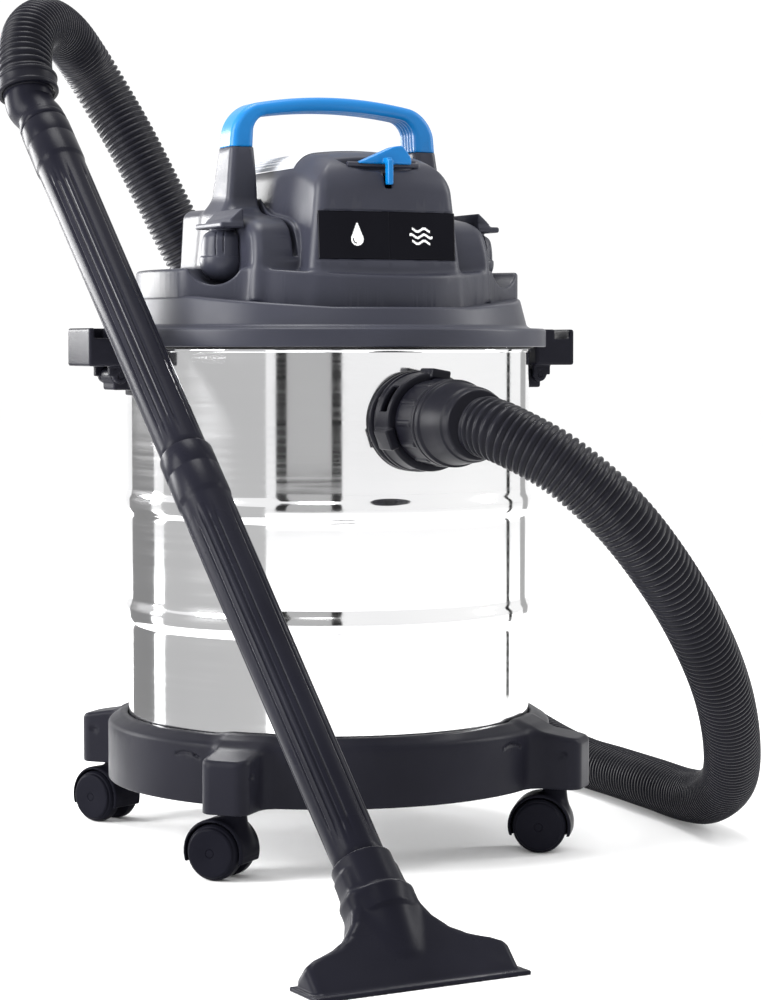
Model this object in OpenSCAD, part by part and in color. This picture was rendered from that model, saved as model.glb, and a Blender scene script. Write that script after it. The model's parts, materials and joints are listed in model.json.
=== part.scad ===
// Wet and dry shop vacuum: steel tank on a castored base, lift-off motor head,
// suction hose, two-piece wand and floor nozzle.
// Millimetres. Origin on the tank's axis at floor level, +Z up, the suction inlet faces -Y.

/* [Tank] */
// Outside radius of the steel tank
tank_r = 145; // [140:1:148]
// Wall of the steel tank
tank_wall = 1; // [0.8:0.1:1.5]
// Height of the tank's underside above the floor
tank_bottom = 62; // [60:1:64]
// Height of the tank's open edge
tank_top = 355; // [354:0.5:355.5]
// How far each rolled bead stands out
bead_rise = 2; // [1:0.5:3]
// Height of the suction inlet's centre
inlet_z = 306; // [300:1:310]

/* [Base] */
// Radius of the base's skirt
base_r = 160; // [156:1:162]
// Reach of the four caster arms
arm_reach = 194; // [190:1:200]
// Height of the base's underside
base_bottom = 46; // [45:1:48]
// Radius of the circle of caster stems
caster_circle_r = 172; // [170:1:174]

/* [Casters] */
// Radius of a caster wheel
wheel_r = 19; // [18.5:0.1:19]
// Sideways distance from the swivel axis to the wheel axle
caster_trail = 10; // [8:1:12]

/* [Lid] */
// Radius of the lid's rim
rim_r = 157; // [155:1:158]
// Height of the rim's lower edge
rim_bottom = 356; // [356:0.5:357]
// Height of the lid's top, where the motor cover starts
lid_top = 391; // [389:1:393]

/* [Motor head] */
// Height of the cover's roof
roof_z = 492; // [488:1:494]
// Height of the grip's highest point
grip_top = 534; // [530:1:540]
// Half the distance between the handle's outer faces
handle_half = 80; // [76:1:84]

/* [Wand] */
// Length of each wand tube
wand_length = 360; // [340:5:360]
// Outside radius of the wand's socket
socket_r = 18; // [17.5:0.5:19]
// Tilt of the wand above the floor
wand_rise = 44; // [43:0.5:45]

/* [Hose] */
// Outside radius of the suction hose
hose_r = 20; // [18:1:20]

/* [Hidden] */
$fn = 96;

plastic = "#3a3c42";
dark = "#1d1e22";
blue = "#1f86d8";
steel = "#c9ccd0";

caster_azimuths = [-45, 45, 135, -135];
// Direction in which each caster trails, in degrees from +X
trail_headings = [131, 146, 135, 118];
axle_z = wheel_r;
hood_r = wheel_r + 3.5;
stem_r = 4;
running_gap = 0.05;
rim_top = rim_bottom + 13;
shell = 3;
tier_z = 410;
front_y = -106;
head_bottom = 255;
cage_r = 46;
motor_r = 44;
wand_foot = [-139, -436, 0];
wand_heading = 4.7;
socket_len = 42;
insert_len = 32;
nozzle_neck = 82;
nozzle_half = 66;
lower_start = nozzle_neck - insert_len;
upper_start = lower_start + wand_length - insert_len;
wand_end = upper_start + wand_length;
elbow_insert = 30;
latch_pin_x = 164;
latch_pin_z = 336;
latch_half = 24;
hose_exit = [0, -243, inlet_z];
hose_route = [
    hose_exit, [8, -267, 300], [34, -292, 281], [68, -304, 250], [105, -300, 210],
    [142, -282, 168], [178, -252, 126], [212, -210, 84], [239, -164, 50], [256, -112, 28],
    [264, -66, 21], [267, -12, 21], [270, 50, 21], [270, 108, 22], [262, 160, 32], [240, 203, 54],
    [200, 230, 90], [150, 238, 142], [98, 228, 205], [50, 208, 272], [14, 192, 335],
    [-14, 187, 390], [-38, 190, 432], [-58, 197, 474], [-76, 207, 514], [-92, 217, 547],
    [-109, 219, 574], [-131, 204, 594], [-156, 175, 599], [-177, 147, 587], [-187, 127, 564],
    [-188, 116, 540]
];

// ---------- shared shapes ----------

module ring(outer, inner, low, high) {
    translate([0, 0, low])
        difference() {
            cylinder(r = outer, h = high - low);
            translate([0, 0, -1]) cylinder(r = inner, h = high - low + 2);
        }
}

// A cylinder that runs along Y, from y0 to y1
module along_y(r, y0, y1) {
    translate([0, y1, 0]) rotate([90, 0, 0]) cylinder(r = r, h = y1 - y0);
}

module along_x(r, x0, x1) {
    translate([x0, 0, 0]) rotate([0, 90, 0]) cylinder(r = r, h = x1 - x0);
}

module at_azimuth(a, r) {
    rotate([0, 0, a]) translate([0, -r, 0]) children();
}

module mirrored() {
    children();
    mirror([1, 0, 0]) children();
}

// Catmull-Rom curve through a list of points
function curve_point(p, i, t) =
    let (n = len(p), a = p[max(i - 1, 0)], b = p[i], c = p[i + 1], d = p[min(i + 2, n - 1)])
    0.5 * (2 * b + (c - a) * t + (2 * a - 5 * b + 4 * c - d) * t * t
        + (3 * b - a - 3 * c + d) * t * t * t);
function curve(p, steps) = [
    for (i = [0:len(p) - 2], k = [0:steps - 1]) curve_point(p, i, k / steps), p[len(p) - 1]
];
function unit(v) = v / norm(v);
function tangent(p, i) = unit(p[min(i + 1, len(p) - 1)] - p[max(i - 1, 0)]);
// The side direction is carried along the curve, so that the tube does not twist
function carried(p, i, side) =
    let (t = tangent(p, i), s = unit(side - (side * t) * t))
    i == len(p) - 1 ? [s] : concat([s], carried(p, i + 1, s));

module tube(p, r, sides = 10) {
    s = carried(p, 0, [0.31, 0.2, 1]);
    rings = [
        for (i = [0:len(p) - 1], k = [0:sides - 1])
            let (a = 360 * k / sides, u = s[i], v = cross(tangent(p, i), u))
            p[i] + r * (cos(a) * u + sin(a) * v)
    ];
    last = (len(p) - 1) * sides;
    walls = [
        for (i = [0:len(p) - 2], k = [0:sides - 1])
            let (a = i * sides + k, b = i * sides + (k + 1) % sides)
            [a, a + sides, b + sides, b]
    ];
    caps = [[for (k = [0:sides - 1]) k], [for (k = [sides - 1:-1:0]) last + k]];
    polyhedron(points = rings, faces = concat(walls, caps), convexity = 8);
}

// ---------- base and casters ----------

// A rounded arm with a flared root
module arm_plan(inset) {
    tip = arm_reach - inset;
    half = 17 - inset;
    for (x = [-1, 1]) translate([x * (half - 8), -tip + 8]) circle(r = 8);
    polygon([
        [-half + 8, -tip], [half - 8, -tip], [half, -tip + 8], [half, -base_r - 6 + inset],
        [half + 3, -base_r + 1 + inset], [half + 10, -base_r + 6 + inset], [half + 10, -130],
        [-half - 10, -130], [-half - 10, -base_r + 6 + inset], [-half - 3, -base_r + 1 + inset],
        [-half, -base_r - 6 + inset], [-half, -tip + 8]
    ]);
}

module base_plan(inset = 0) {
    circle(r = base_r - inset);
    for (a = caster_azimuths) rotate([0, 0, a]) arm_plan(inset);
}

module base_envelope(inset = 0) {
    rotate_extrude()
    polygon([
        [0, base_bottom - (inset > 0 ? 1 : 0)], [arm_reach + 4, base_bottom - (inset > 0 ? 1 : 0)],
        [arm_reach + 4, 76 - inset], [arm_reach - 3, 80.5 - inset], [base_r + 2, 87 - inset],
        [base_r - 7, 92 - inset], [tank_r + 1, 93 - inset], [0, 93 - inset]
    ]);
}

module caster_places() {
    for (a = caster_azimuths) at_azimuth(a, caster_circle_r) children();
}

module base_ring() {
    color(plastic)
    difference() {
        union() {
            difference() {
                intersection() {
                    translate([0, 0, base_bottom]) linear_extrude(60) base_plan();
                    base_envelope();
                }
                difference() {
                    intersection() {
                        translate([0, 0, base_bottom - 1]) linear_extrude(60) base_plan(shell);
                        base_envelope(shell);
                    }
                    cylinder(r = tank_r + 4, h = 100);
                }
            }
            caster_places() translate([0, 0, base_bottom]) cylinder(r = 9, h = 36);
        }
        translate([0, 0, tank_bottom]) cylinder(r = tank_r + 1, h = 60);
        translate([0, 0, 10]) cylinder(r = 118, h = 80);
        ring(tank_r - 4, 110, 40, tank_bottom - 4);
        for (a = [0:3]) rotate([0, 0, 90 * a]) translate([130, 0, 50]) cylinder(r = 2.2, h = 20);
        caster_places() translate([0, 0, 40]) cylinder(r = stem_r + running_gap, h = 38);
    }
}

module base_screws() {
    color(steel)
    for (a = [0:3])
        rotate([0, 0, 90 * a]) translate([130, 0, 0]) {
            translate([0, 0, tank_bottom - 6.5]) cylinder(r = 4, h = 2.5);
            translate([0, 0, tank_bottom - 4.1]) cylinder(r = 2.2, h = 9);
        }
}

// Stands on the floor under a swivel axis, trailing in one heading
module caster_frame(k) {
    at_azimuth(caster_azimuths[k], caster_circle_r)
        rotate([0, 0, trail_headings[k] - caster_azimuths[k]]) children();
}

module caster_fork(k) {
    color(dark)
    caster_frame(k)
    difference() {
        union() {
            translate([caster_trail, 0, axle_z]) along_y(hood_r, -14, 14);
            translate([0, 0, 24]) cylinder(r1 = 10, r2 = 8, h = 21.3);
        }
        // wheel wells
        for (s = [-1, 1])
            translate([caster_trail, s * 15, axle_z]) along_y(wheel_r + 1.3, -10.2, 10.2);
        // open under the hood
        translate([caster_trail - 40, -20, -10]) cube([80, 40, 22]);
        translate([caster_trail, 0, axle_z]) along_y(3 + running_gap, -30, 30);
        translate([0, 0, 32]) cylinder(r = stem_r, h = 20);
    }
}

module caster_stem(k) {
    color(steel)
    caster_frame(k) {
        translate([0, 0, 32]) cylinder(r = stem_r, h = 43);
        translate([0, 0, 45.3]) cylinder(r = 7, h = 0.5);
    }
}

module caster_wheels(k) {
    color(dark)
    caster_frame(k)
    translate([caster_trail, 0, axle_z]) {
        for (s = [-1, 1])
            rotate([90, 0, 0])
            mirror([0, 0, s > 0 ? 1 : 0])
            rotate_extrude()
            polygon([
                [3, 5.4], [wheel_r, 5.4], [wheel_r, 13], [wheel_r - 1, 14.6], [wheel_r - 2.5, 15.2],
                [wheel_r - 3, 16.6], [12, 17.6], [3, 17.8]
            ]);
        along_y(3, -17, 17);
    }
}

// ---------- tank ----------

function bead(z, middle) = bead_rise * exp(-pow((z - middle) / 7, 4));
function tank_outline(r) = [
    for (z = [tank_bottom + 4:3:tank_top - 3]) [r + bead(z, 245) + bead(z, 167), z]
];

module tank_shell() {
    inner = tank_outline(tank_r - tank_wall);
    color(steel)
    difference() {
        rotate_extrude($fn = 128)
        polygon(concat(
            [[0, tank_bottom], [tank_r - 5, tank_bottom]],
            tank_outline(tank_r),
            [[tank_r, tank_top - 3], [tank_r + 1.5, tank_top - 2.2], [tank_r + 1.5, tank_top],
                [tank_r - tank_wall, tank_top]],
            [for (i = [len(inner) - 1:-1:0]) inner[i]],
            [[tank_r - 6, tank_bottom + 1.2], [0, tank_bottom + 1.2]]
        ));
        translate([0, 0, inlet_z]) along_y(22.1, -160, -100);
        for (a = [0:2]) inlet_screw_place(a) along_y(2.1, -160, -130);
        for (a = [0:3]) rotate([0, 0, 90 * a]) translate([130, 0, 50]) cylinder(r = 2.2, h = 20);
        mirrored() latch_rivet_places() along_x(2.1, 120, 160);
    }
}

module inlet_screw_place(a) {
    translate([0, 0, inlet_z]) rotate([0, 90 + 120 * a, 0]) translate([28, 0, 0]) children();
}

module inlet_flange(r, low, high) {
    intersection() {
        translate([0, 0, inlet_z]) along_y(r, -190, -100);
        ring(tank_r + high, tank_r + low, inlet_z - 60, inlet_z + 60);
    }
}

module inlet_port() {
    color(dark)
    difference() {
        union() {
            inlet_flange(34, 1.2, 6);
            translate([0, 0, inlet_z]) along_y(22, -166, -124);
        }
        translate([0, 0, inlet_z]) along_y(17.5, -200, -90);
        for (a = [0:2])
            inlet_screw_place(a) {
                along_y(2.1, -190, -100);
                along_y(4, -190, -148.8);
            }
    }
}

module inlet_gasket() {
    color(dark)
    difference() {
        inlet_flange(33, 0.1, 1.2);
        translate([0, 0, inlet_z]) along_y(22, -200, -90);
        for (a = [0:2]) inlet_screw_place(a) along_y(2.1, -190, -100);
    }
}

// Turns the incoming air down inside the tank
module inlet_deflector() {
    color(dark)
    difference() {
        union() {
            translate([0, 0, inlet_z]) along_y(25, -138, -112);
            translate([0, -112, inlet_z]) sphere(r = 25);
            translate([0, -112, inlet_z - 34]) cylinder(r = 25, h = 34);
        }
        translate([0, 0, inlet_z]) along_y(22.05, -145, -112);
        translate([0, -112, inlet_z]) sphere(r = 21);
        translate([0, -112, inlet_z - 40]) cylinder(r = 21, h = 40);
    }
}

module inlet_screws() {
    color(steel)
    for (a = [0:2])
        inlet_screw_place(a) {
            along_y(2.1, -149, -138.5);
            along_y(4, -151, -148.8);
        }
}

// ---------- latches, drawn on the +X side ----------

module latch_rivet_places() {
    for (y = [-9, 9]) translate([0, y, 330]) children();
}

module latch_bracket() {
    color(dark)
    difference() {
        union() {
            intersection() {
                translate([130, -18, 322]) cube([40, 36, 22]);
                ring(tank_r + 5, tank_r + 1.6, 320, 346);
            }
            translate([147, -12, 326]) cube([20, 24, 14]);
            translate([latch_pin_x, 0, latch_pin_z]) along_y(5.5, -12, 12);
        }
        translate([latch_pin_x, 0, latch_pin_z]) along_y(2, -30, 30);
        latch_rivet_places() along_x(2.1, 120, 152.5);
    }
}

module latch_rivets() {
    color(steel)
    mirrored()
    latch_rivet_places() {
        along_x(2.1, tank_r - 2.4, 152.4);
        along_x(4, tank_r - 3.4, tank_r - 2.4);
    }
}

module latch_pins() {
    color(steel)
    mirrored()
    translate([latch_pin_x, 0, latch_pin_z]) along_y(2, -18, 18);
}

// A hollow lever that folds up against the lid's rim
module latch_lever() {
    color(dark)
    difference() {
        union() {
            difference() {
                translate([rim_r + 0.6, -latch_half, 344]) cube([28, 2 * latch_half, 23]);
                translate([rim_r + 4, -latch_half + 4, 348]) cube([20.6, 2 * latch_half - 8, 30]);
                translate([rim_r + 4, -latch_half - 1, 355]) cube([20.6, 2 * latch_half + 2, 30]);
            }
            for (s = [-1, 1])
                translate([0, s * 15.2, 0]) {
                    translate([latch_pin_x, 0, latch_pin_z]) along_y(5.5, -2.6, 2.6);
                    translate([latch_pin_x - 5.5, -2.6, latch_pin_z]) cube([14, 5.2, 9]);
                }
        }
        translate([latch_pin_x, 0, latch_pin_z]) along_y(2 + running_gap, -30, 30);
        ring(rim_r + 0.5, 1, 340, 380);
    }
}

// ---------- hose and its fittings ----------

module on_inlet() {
    translate([0, 0, inlet_z]) children();
}

module hose_connector() {
    color(dark)
    on_inlet()
    difference() {
        union() {
            along_y(28, -204, -174);
            along_y(17.4, -174.5, -152);
            along_y(24, -174.5, -167);
            for (a = [0:11]) rotate([0, 30 * a, 0]) translate([27, -197, -1]) cube([2, 19, 2]);
        }
        along_y(14, -210, -140);
    }
}

// Turns on the connector and locks it to the inlet
module lock_collar() {
    color(dark)
    on_inlet()
    difference() {
        union() {
            along_y(33, -173.6, -152);
            for (a = [0, 120, 240])
                rotate([0, a + 10, 0]) translate([-7, -176, 30]) cube([14, 20, 5.5]);
        }
        along_y(22.3, -166.5, -140);
        along_y(24.3, -190, -166.4);
        along_y(29.5, -170, -158);
        for (a = [60, 180, 300])
            rotate([0, a, 0]) translate([-9, -170, 20]) cube([18, 10, 20]);
    }
}

module hose_cuff() {
    color(dark)
    on_inlet()
    rotate([90, 0, 0])
    rotate_extrude()
    polygon([
        [14, 204.1], [28.6, 204.1], [29, 206], [28.8, 210], [27.2, 212], [25.6, 226], [24.6, 235],
        [22.4, 243], [14, 243]
    ]);
}

module hose() {
    color(dark) tube(curve(hose_route, 2), hose_r);
}

// Local +Z runs up the wand from the floor, local X along the nozzle's slot
module along_wand() {
    translate(wand_foot) rotate([0, 0, wand_heading]) rotate([wand_rise - 90, 0, 0]) children();
}

function wand_point(s) =
    wand_foot + s * [-cos(wand_rise) * sin(wand_heading), cos(wand_rise) * cos(wand_heading),
        sin(wand_rise)];
elbow_route = [
    wand_point(wand_end + 0.4), wand_point(wand_end + 6), wand_point(wand_end + 12),
    hose_route[len(hose_route) - 1] - [0, 4, 9], hose_route[len(hose_route) - 1]
];

module hose_elbow() {
    color(plastic)
    union() {
        along_wand() ring(14.65, 12.5, wand_end - elbow_insert, wand_end + 2);
        tube(curve(elbow_route, 3), 17.5, 24);
    }
}

module hose_end_cuff() {
    end = hose_route[len(hose_route) - 1];
    before = hose_route[len(hose_route) - 2];
    color(dark)
    difference() {
        tube([end + 0.01 * (end - before), end + 0.55 * (before - end)], hose_r + 2.5, 32);
        tube([end - (before - end), end + 2 * (before - end)], hose_r + 0.02, 32);
    }
}

module wand_tube(start) {
    color(plastic)
    along_wand()
    translate([0, 0, start])
    difference() {
        rotate_extrude()
        polygon([
            [12.5, 0], [14.3, 0], [14.65, 3], [14.65, insert_len + 0.3], [15.8, insert_len + 0.8],
            [17.2, wand_length - socket_len], [socket_r, wand_length - socket_len + 3],
            [socket_r, wand_length - 1], [socket_r - 1, wand_length], [12.5, wand_length]
        ]);
        translate([0, 0, wand_length - insert_len - 1]) cylinder(r = 14.7, h = insert_len + 10);
    }
}

module nozzle_outline() {
    polygon([
        [-nozzle_half, -20], [nozzle_half, -20], [nozzle_half, 11], [nozzle_half - 2, 15],
        [nozzle_half - 7, 18], [44, 23], [34, 29], [26, 38], [21, 48], [18, 60], [17, 70],
        [-17, 70], [-18, 60], [-21, 48], [-26, 38], [-34, 29], [-44, 23],
        [-nozzle_half + 7, 18], [-nozzle_half + 2, 15], [-nozzle_half, 11]
    ]);
}

module nozzle() {
    color(plastic)
    difference() {
        intersection() {
            union() {
                along_wand() {
                    translate([0, 10, 0]) rotate([90, 0, 0]) linear_extrude(20) nozzle_outline();
                    translate([0, 0, 14]) cylinder(r1 = 9, r2 = 17, h = 30);
                    translate([0, 0, 43]) cylinder(r = 17, h = nozzle_neck - 43);
                    translate([0, 0, nozzle_neck - 34]) cylinder(r = 18.5, h = 34);
                }
                translate([wand_foot[0], wand_foot[1], 0])
                    rotate([0, 0, wand_heading])
                    translate([-nozzle_half - 3, -17, 0]) cube([2 * nozzle_half + 6, 34, 2.5]);
            }
            translate([-400, -600, 0]) cube([400, 400, 200]);
        }
        // suction slot and air way
        intersection() {
            along_wand() {
                translate([0, 7, 0]) rotate([90, 0, 0]) linear_extrude(14)
                    polygon([[-60, -30], [60, -30], [60, 10], [12, 32], [-12, 32], [-60, 10]]);
                translate([0, 0, 31]) cylinder(r = 12, h = 30);
            }
            translate([-400, -600, -5]) cube([400, 400, 200]);
        }
        along_wand() translate([0, 0, nozzle_neck - insert_len - 1])
            cylinder(r = 14.7, h = insert_len + 10);
    }
}

// ---------- lid and filter ----------

module lid() {
    color(plastic)
    difference() {
        rotate_extrude($fn = 128)
        polygon([
            [24, 376], [tank_r - 6, 376], [tank_r - 6, 362], [tank_r - 3, 362], [tank_r - 3, 358.4],
            [tank_r + 5, 358.4], [tank_r + 5, rim_bottom], [rim_r, rim_bottom], [rim_r, rim_top - 2],
            [rim_r - 2, rim_top], [145, rim_top + 0.5], [142.5, rim_top + 2], [138.5, lid_top - 1],
            [137, lid_top], [116, lid_top], [116, lid_top - 3], [134.5, lid_top - 3], [137, 379],
            [24, 379]
        ]);
        cover_screw_places() translate([0, 0, 360]) cylinder(r = 2, h = 50);
    }
}

module lid_seal() {
    color(dark) ring(tank_r + 3, tank_r - 3, tank_top + 0.1, 358.4);
}

module filter_cage() {
    color(plastic)
    union() {
        ring(cage_r, 24, 372, 375.9);
        ring(cage_r, cage_r - 3, head_bottom, head_bottom + 8);
        ring(cage_r, 6, head_bottom, head_bottom + 3);
        for (a = [0:45:315])
            rotate([0, 0, a]) translate([cage_r - 3.2, -2, head_bottom]) cube([3, 4, 118]);
    }
}

module filter_sleeve() {
    color("#8f9296") ring(58, cage_r + 0.1, head_bottom + 0.1, 375.9);
}

module filter_retainer() {
    color(blue)
    union() {
        ring(60, cage_r - 6, head_bottom - 4, head_bottom - 0.1);
        ring(60, 58.2, head_bottom - 4, head_bottom + 12);
    }
}

module float_valve() {
    color("#d8d8d4")
    difference() {
        translate([0, 0, head_bottom + 4]) cylinder(r = 36, h = 48);
        translate([0, 0, head_bottom + 2]) cylinder(r = 34, h = 47);
    }
}

// ---------- motor cover ----------

module corner_posts(x, y0, y1, low, high, r) {
    for (sx = [-1, 1], y = [y0, y1]) translate([sx * x, y, low]) cylinder(r = r, h = high - low);
}

module shoulder_form(inset) {
    hull($fn = 32) {
        corner_posts(78, -46, 62, tier_z - 2, 440 - inset, 12 - inset);
        corner_posts(74, -38, 56, 440, 455 - inset, 8 - inset / 2);
    }
}

module crown_form(inset) {
    hull($fn = 32) {
        corner_posts(48, -96, 88, lid_top - inset, 452 - inset, 10 - inset);
        corner_posts(42, -88, 78, 452, 478 - inset, 9 - inset);
        corner_posts(34, -70, 62, 470, roof_z - inset, 9 - inset);
    }
}

// A disc with a wing on each side, whose corners are cut off straight
module tier_form(inset) {
    translate([0, 0, lid_top - inset]) cylinder(r = 118 - inset, h = tier_z - lid_top);
    intersection() {
        translate([0, 0, lid_top - inset]) cylinder(r = 138 - inset, h = tier_z - lid_top);
        translate([0, 0, 380])
        linear_extrude(60)
        polygon([
            [150, 33 - 1.23 * inset], [90.3 - 0.32 * inset, 75.5 - inset],
            [-90.3 + 0.32 * inset, 75.5 - inset], [-150, 33 - 1.23 * inset],
            [-150, -33 + 1.23 * inset], [-90.3 + 0.32 * inset, -75.5 + inset],
            [90.3 - 0.32 * inset, -75.5 + inset], [150, -33 + 1.23 * inset]
        ]);
    }
}

module handle_post() {
    translate([0, 14, 0])
    rotate([90, 0, 0])
    linear_extrude(28)
    polygon([
        [50, 444], [handle_half + 10, 444], [handle_half + 4, 458], [handle_half, 497],
        [handle_half - 18, 497], [handle_half - 21, 470]
    ]);
}

module fascia_space(grow = 0) {
    translate([-70, -130, tier_z + 1 - grow]) cube([140, 48 + grow, 110]);
}

module cover_screw_places() {
    mirrored() for (a = [-5, 15]) rotate([0, 0, a]) translate([124, 0, 0]) children();
}

module clip_place() {
    mirrored() translate([96, -38, 0]) children();
}

// The hollow in the tier around each clip, open through the wing's cut corner
module scoop(r, from) {
    clip_place()
    intersection() {
        translate([0, 0, tier_z + 10]) {
            sphere(r = r);
            rotate([0, 0, -54.6]) rotate([0, 90, 0]) cylinder(r = r - 0.4, h = 60);
        }
        translate([from, -60, 380]) cube([80, 100, 80]);
    }
}

module motor_cover() {
    color(plastic)
    difference() {
        union() {
            shoulder_form(0);
            difference() {
                crown_form(0);
                fascia_space();
            }
            tier_form(0);
            mirrored() handle_post();
        }
        shoulder_form(shell);
        crown_form(shell);
        tier_form(shell);
        mirrored() translate([handle_half - 14, -4, 476.9]) cube([10, 8, 30]);
        scoop(21.5, -6);
        roof_opening(0.2);
        translate([30, 0, 430]) along_y(17.1, 60, 120);
        translate([-38, 0, 420]) along_y(6.1, 60, 120);
    }
    color(plastic)
    difference() {
        intersection() {
            tier_form(0);
            scoop(23, -6);
        }
        scoop(21, -7);
    }
    // screw bosses
    color(plastic)
    cover_screw_places() ring(6, 2, lid_top, tier_z - 2);
}

// The pocket in the roof's front edge for the switch
module fascia() {
    color(plastic)
    difference() {
        union() {
            difference() {
                intersection() {
                    crown_form(0);
                    fascia_space();
                }
                crown_form(shell);
                translate([-32, -104, 478.5]) cube([64, 30, 20]);
            }
            intersection() {
                crown_form(0);
                union() {
                    translate([-34, -103, 475.5]) cube([68, 21, 3]);
                    translate([-34, -84.5, 475.5]) cube([68, 2.5, 20]);
                    for (x = [-1, 1])
                        translate([x > 0 ? 24.4 : -27.4, -97, 477]) cube([3, 6, 8]);
                }
            }
        }
        translate([-49, front_y - 1, 415]) cube([98, 2.5, 35]);
        translate([-2.6, front_y - 2, 464]) cube([5.2, 14, 32]);
        translate([0, -94, 481]) along_x(2 + running_gap, -28, 28);
    }
}

module label_panel() {
    color("#101114") translate([-48.8, front_y - 0.6, 415.2]) cube([97.6, 2, 34.6]);
}

module roof_opening(gap) {
    translate([-34 - gap, -50 - gap, 470]) cube([68 + 2 * gap, 104 + 2 * gap, 40]);
}

module roof_grille() {
    color("#6f7176")
    difference() {
        union() {
            translate([-34, -50, roof_z - 4]) cube([68, 104, 4]);
            translate([-38, -54, roof_z - 6]) cube([76, 112, 2.8]);
        }
        for (y = [-42:8:46]) translate([-28, y, roof_z - 10]) cube([56, 3.5, 15]);
    }
}

module side_clips() {
    color(plastic)
    clip_place()
    difference() {
        union() {
            translate([0, 0, tier_z + 6]) {
                sphere(r = 16);
                cylinder(r = 16, h = 20);
                cylinder(r = 9, h = 22.6);
            }
            translate([-8, -24, tier_z + 27.6]) cube([20, 50, 3.4]);
        }
        translate([-56, -60, 380]) cube([50, 120, 80]);
    }
}

module blower_port() {
    color(plastic)
    translate([30, 0, 430])
    difference() {
        union() {
            along_y(17, 84, 112);
            along_y(20, 91, 94.8);
        }
        along_y(15, 70, 130);
    }
}

module cord_gland() {
    color(dark)
    translate([-38, 0, 420])
    difference() {
        union() {
            along_y(6, 90, 104);
            along_y(8.5, 98.2, 102);
        }
        along_y(3.2, 80, 110);
    }
}

module cover_screws() {
    color(steel)
    cover_screw_places() {
        translate([0, 0, 373]) cylinder(r = 4, h = 3);
        translate([0, 0, 375.9]) cylinder(r = 2, h = 25);
    }
}

// ---------- handle ----------

module grip_outline(inset) {
    polygon([
        [-handle_half + inset, 497], [-handle_half + 3 + inset, 512],
        [-handle_half + 10 + inset, grip_top - 6 - inset], [-handle_half + 18 + inset, grip_top - 3 - inset],
        [-30, grip_top - inset * 0.9], [0, grip_top + 0.6 - inset * 0.9], [30, grip_top - inset * 0.9],
        [handle_half - 18 - inset, grip_top - 3 - inset], [handle_half - 10 - inset, grip_top - 6 - inset],
        [handle_half - 3 - inset, 512], [handle_half - inset, 497]
    ]);
}

module handle_grip() {
    color(blue)
    union() {
        translate([0, 14, 0])
        rotate([90, 0, 0])
        linear_extrude(28)
        difference() {
            grip_outline(0);
            polygon([
                [-handle_half + 18, 490], [-handle_half + 18, 508], [-handle_half + 21, 516],
                [-handle_half + 28, 520.5], [-30, 521.6], [30, 521.6], [handle_half - 28, 520.5],
                [handle_half - 21, 516], [handle_half - 18, 508], [handle_half - 18, 490]
            ]);
        }
        mirrored() translate([handle_half - 13.8, -3.8, 477]) cube([9.6, 7.6, 22]);
    }
}

// ---------- switch ----------

module switch_lever() {
    color(blue)
    union() {
        translate([0, -90, 0])
        rotate([90, 0, 0])
        linear_extrude(9)
        polygon([[-21, 481.5], [20, 481.5], [20, 487], [14, 494.5], [9, 494.5]]);
        translate([-2, -108, 467]) cube([4, 6, 17]);
        translate([-2, -106, 481.5]) cube([4, 10, 4]);
        translate([0, -94, 481]) along_x(2, -27, 27);
    }
}

module switch_body() {
    color(dark) translate([-12, -92, 452]) cube([24, 16, 23.4]);
}

// ---------- motor ----------

module fan_housing() {
    color("#9a9da1")
    difference() {
        union() {
            ring(62, 20, lid_top - 8, 404);
            ring(30, 26, 379.1, lid_top - 7);
            ring(14, 11, 403, 411);
        }
        ring(57.5, 19, lid_top - 6, 402);
        translate([0, 0, 400]) cylinder(r = 11, h = 20);
        for (a = [0:60:300]) rotate([0, 0, a]) translate([40, 0, 400]) cylinder(r = 7, h = 10);
    }
    color("#9a9da1") ring(20.5, 11, 402, 404);
}

module motor_stator() {
    color("#7b6a4c")
    difference() {
        union() {
            ring(motor_r, 24, 413, 452);
            // bridge that holds the upper bearing
            ring(14, 11, 459, 466);
            for (s = [0, 180])
                rotate([0, 0, s]) {
                    translate([-7, 12, 459]) cube([14, 30, 4]);
                    translate([-7, 36, 451]) cube([14, 6, 12]);
                }
            // brush holders
            for (s = [0, 180]) rotate([0, 0, s]) translate([25, -5, 451.5]) cube([17, 10, 9]);
            // feet on the fan housing
            for (a = [30:60:330])
                rotate([0, 0, a]) translate([34, 0, 404.1]) cylinder(r = 4, h = 10);
        }
        for (s = [0, 180]) rotate([0, 0, s]) translate([12, -3.1, 453.4]) cube([25, 6.2, 5.2]);
    }
}

module motor_bearings() {
    color(steel) {
        ring(11, stem_r + running_gap, 404.5, 411);
        ring(11, stem_r + running_gap, 459, 466);
    }
}

module motor_brushes() {
    color("#4a3a2a")
    for (s = [-1, 1]) translate([s > 0 ? 12.3 : -30.3, -3, 453.5]) cube([18, 6, 5]);
}

module motor_shaft() {
    color(steel) translate([0, 0, 385]) cylinder(r = stem_r, h = 88);
}

module armature() {
    color("#b0713a") {
        ring(23, stem_r, 415, 449);
        ring(12, stem_r, 451, 458.5);
    }
}

module impeller() {
    color("#c8cbce")
    union() {
        ring(55, 19, 386.5, 388);
        ring(55, stem_r, 398, 399.5);
        ring(8, stem_r, 389, 398.1);
        for (a = [0:45:315])
            rotate([0, 0, a]) translate([21, -1, 387.9]) rotate([0, 0, 30]) cube([31, 1.5, 10.2]);
    }
}

module cooling_fan() {
    color(dark)
    union() {
        ring(9, stem_r, 467, 472);
        for (a = [0:40:320])
            rotate([0, 0, a]) translate([8, -1, 467]) cube([24, 2, 5]);
    }
}

// ---------- nodes ----------

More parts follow.
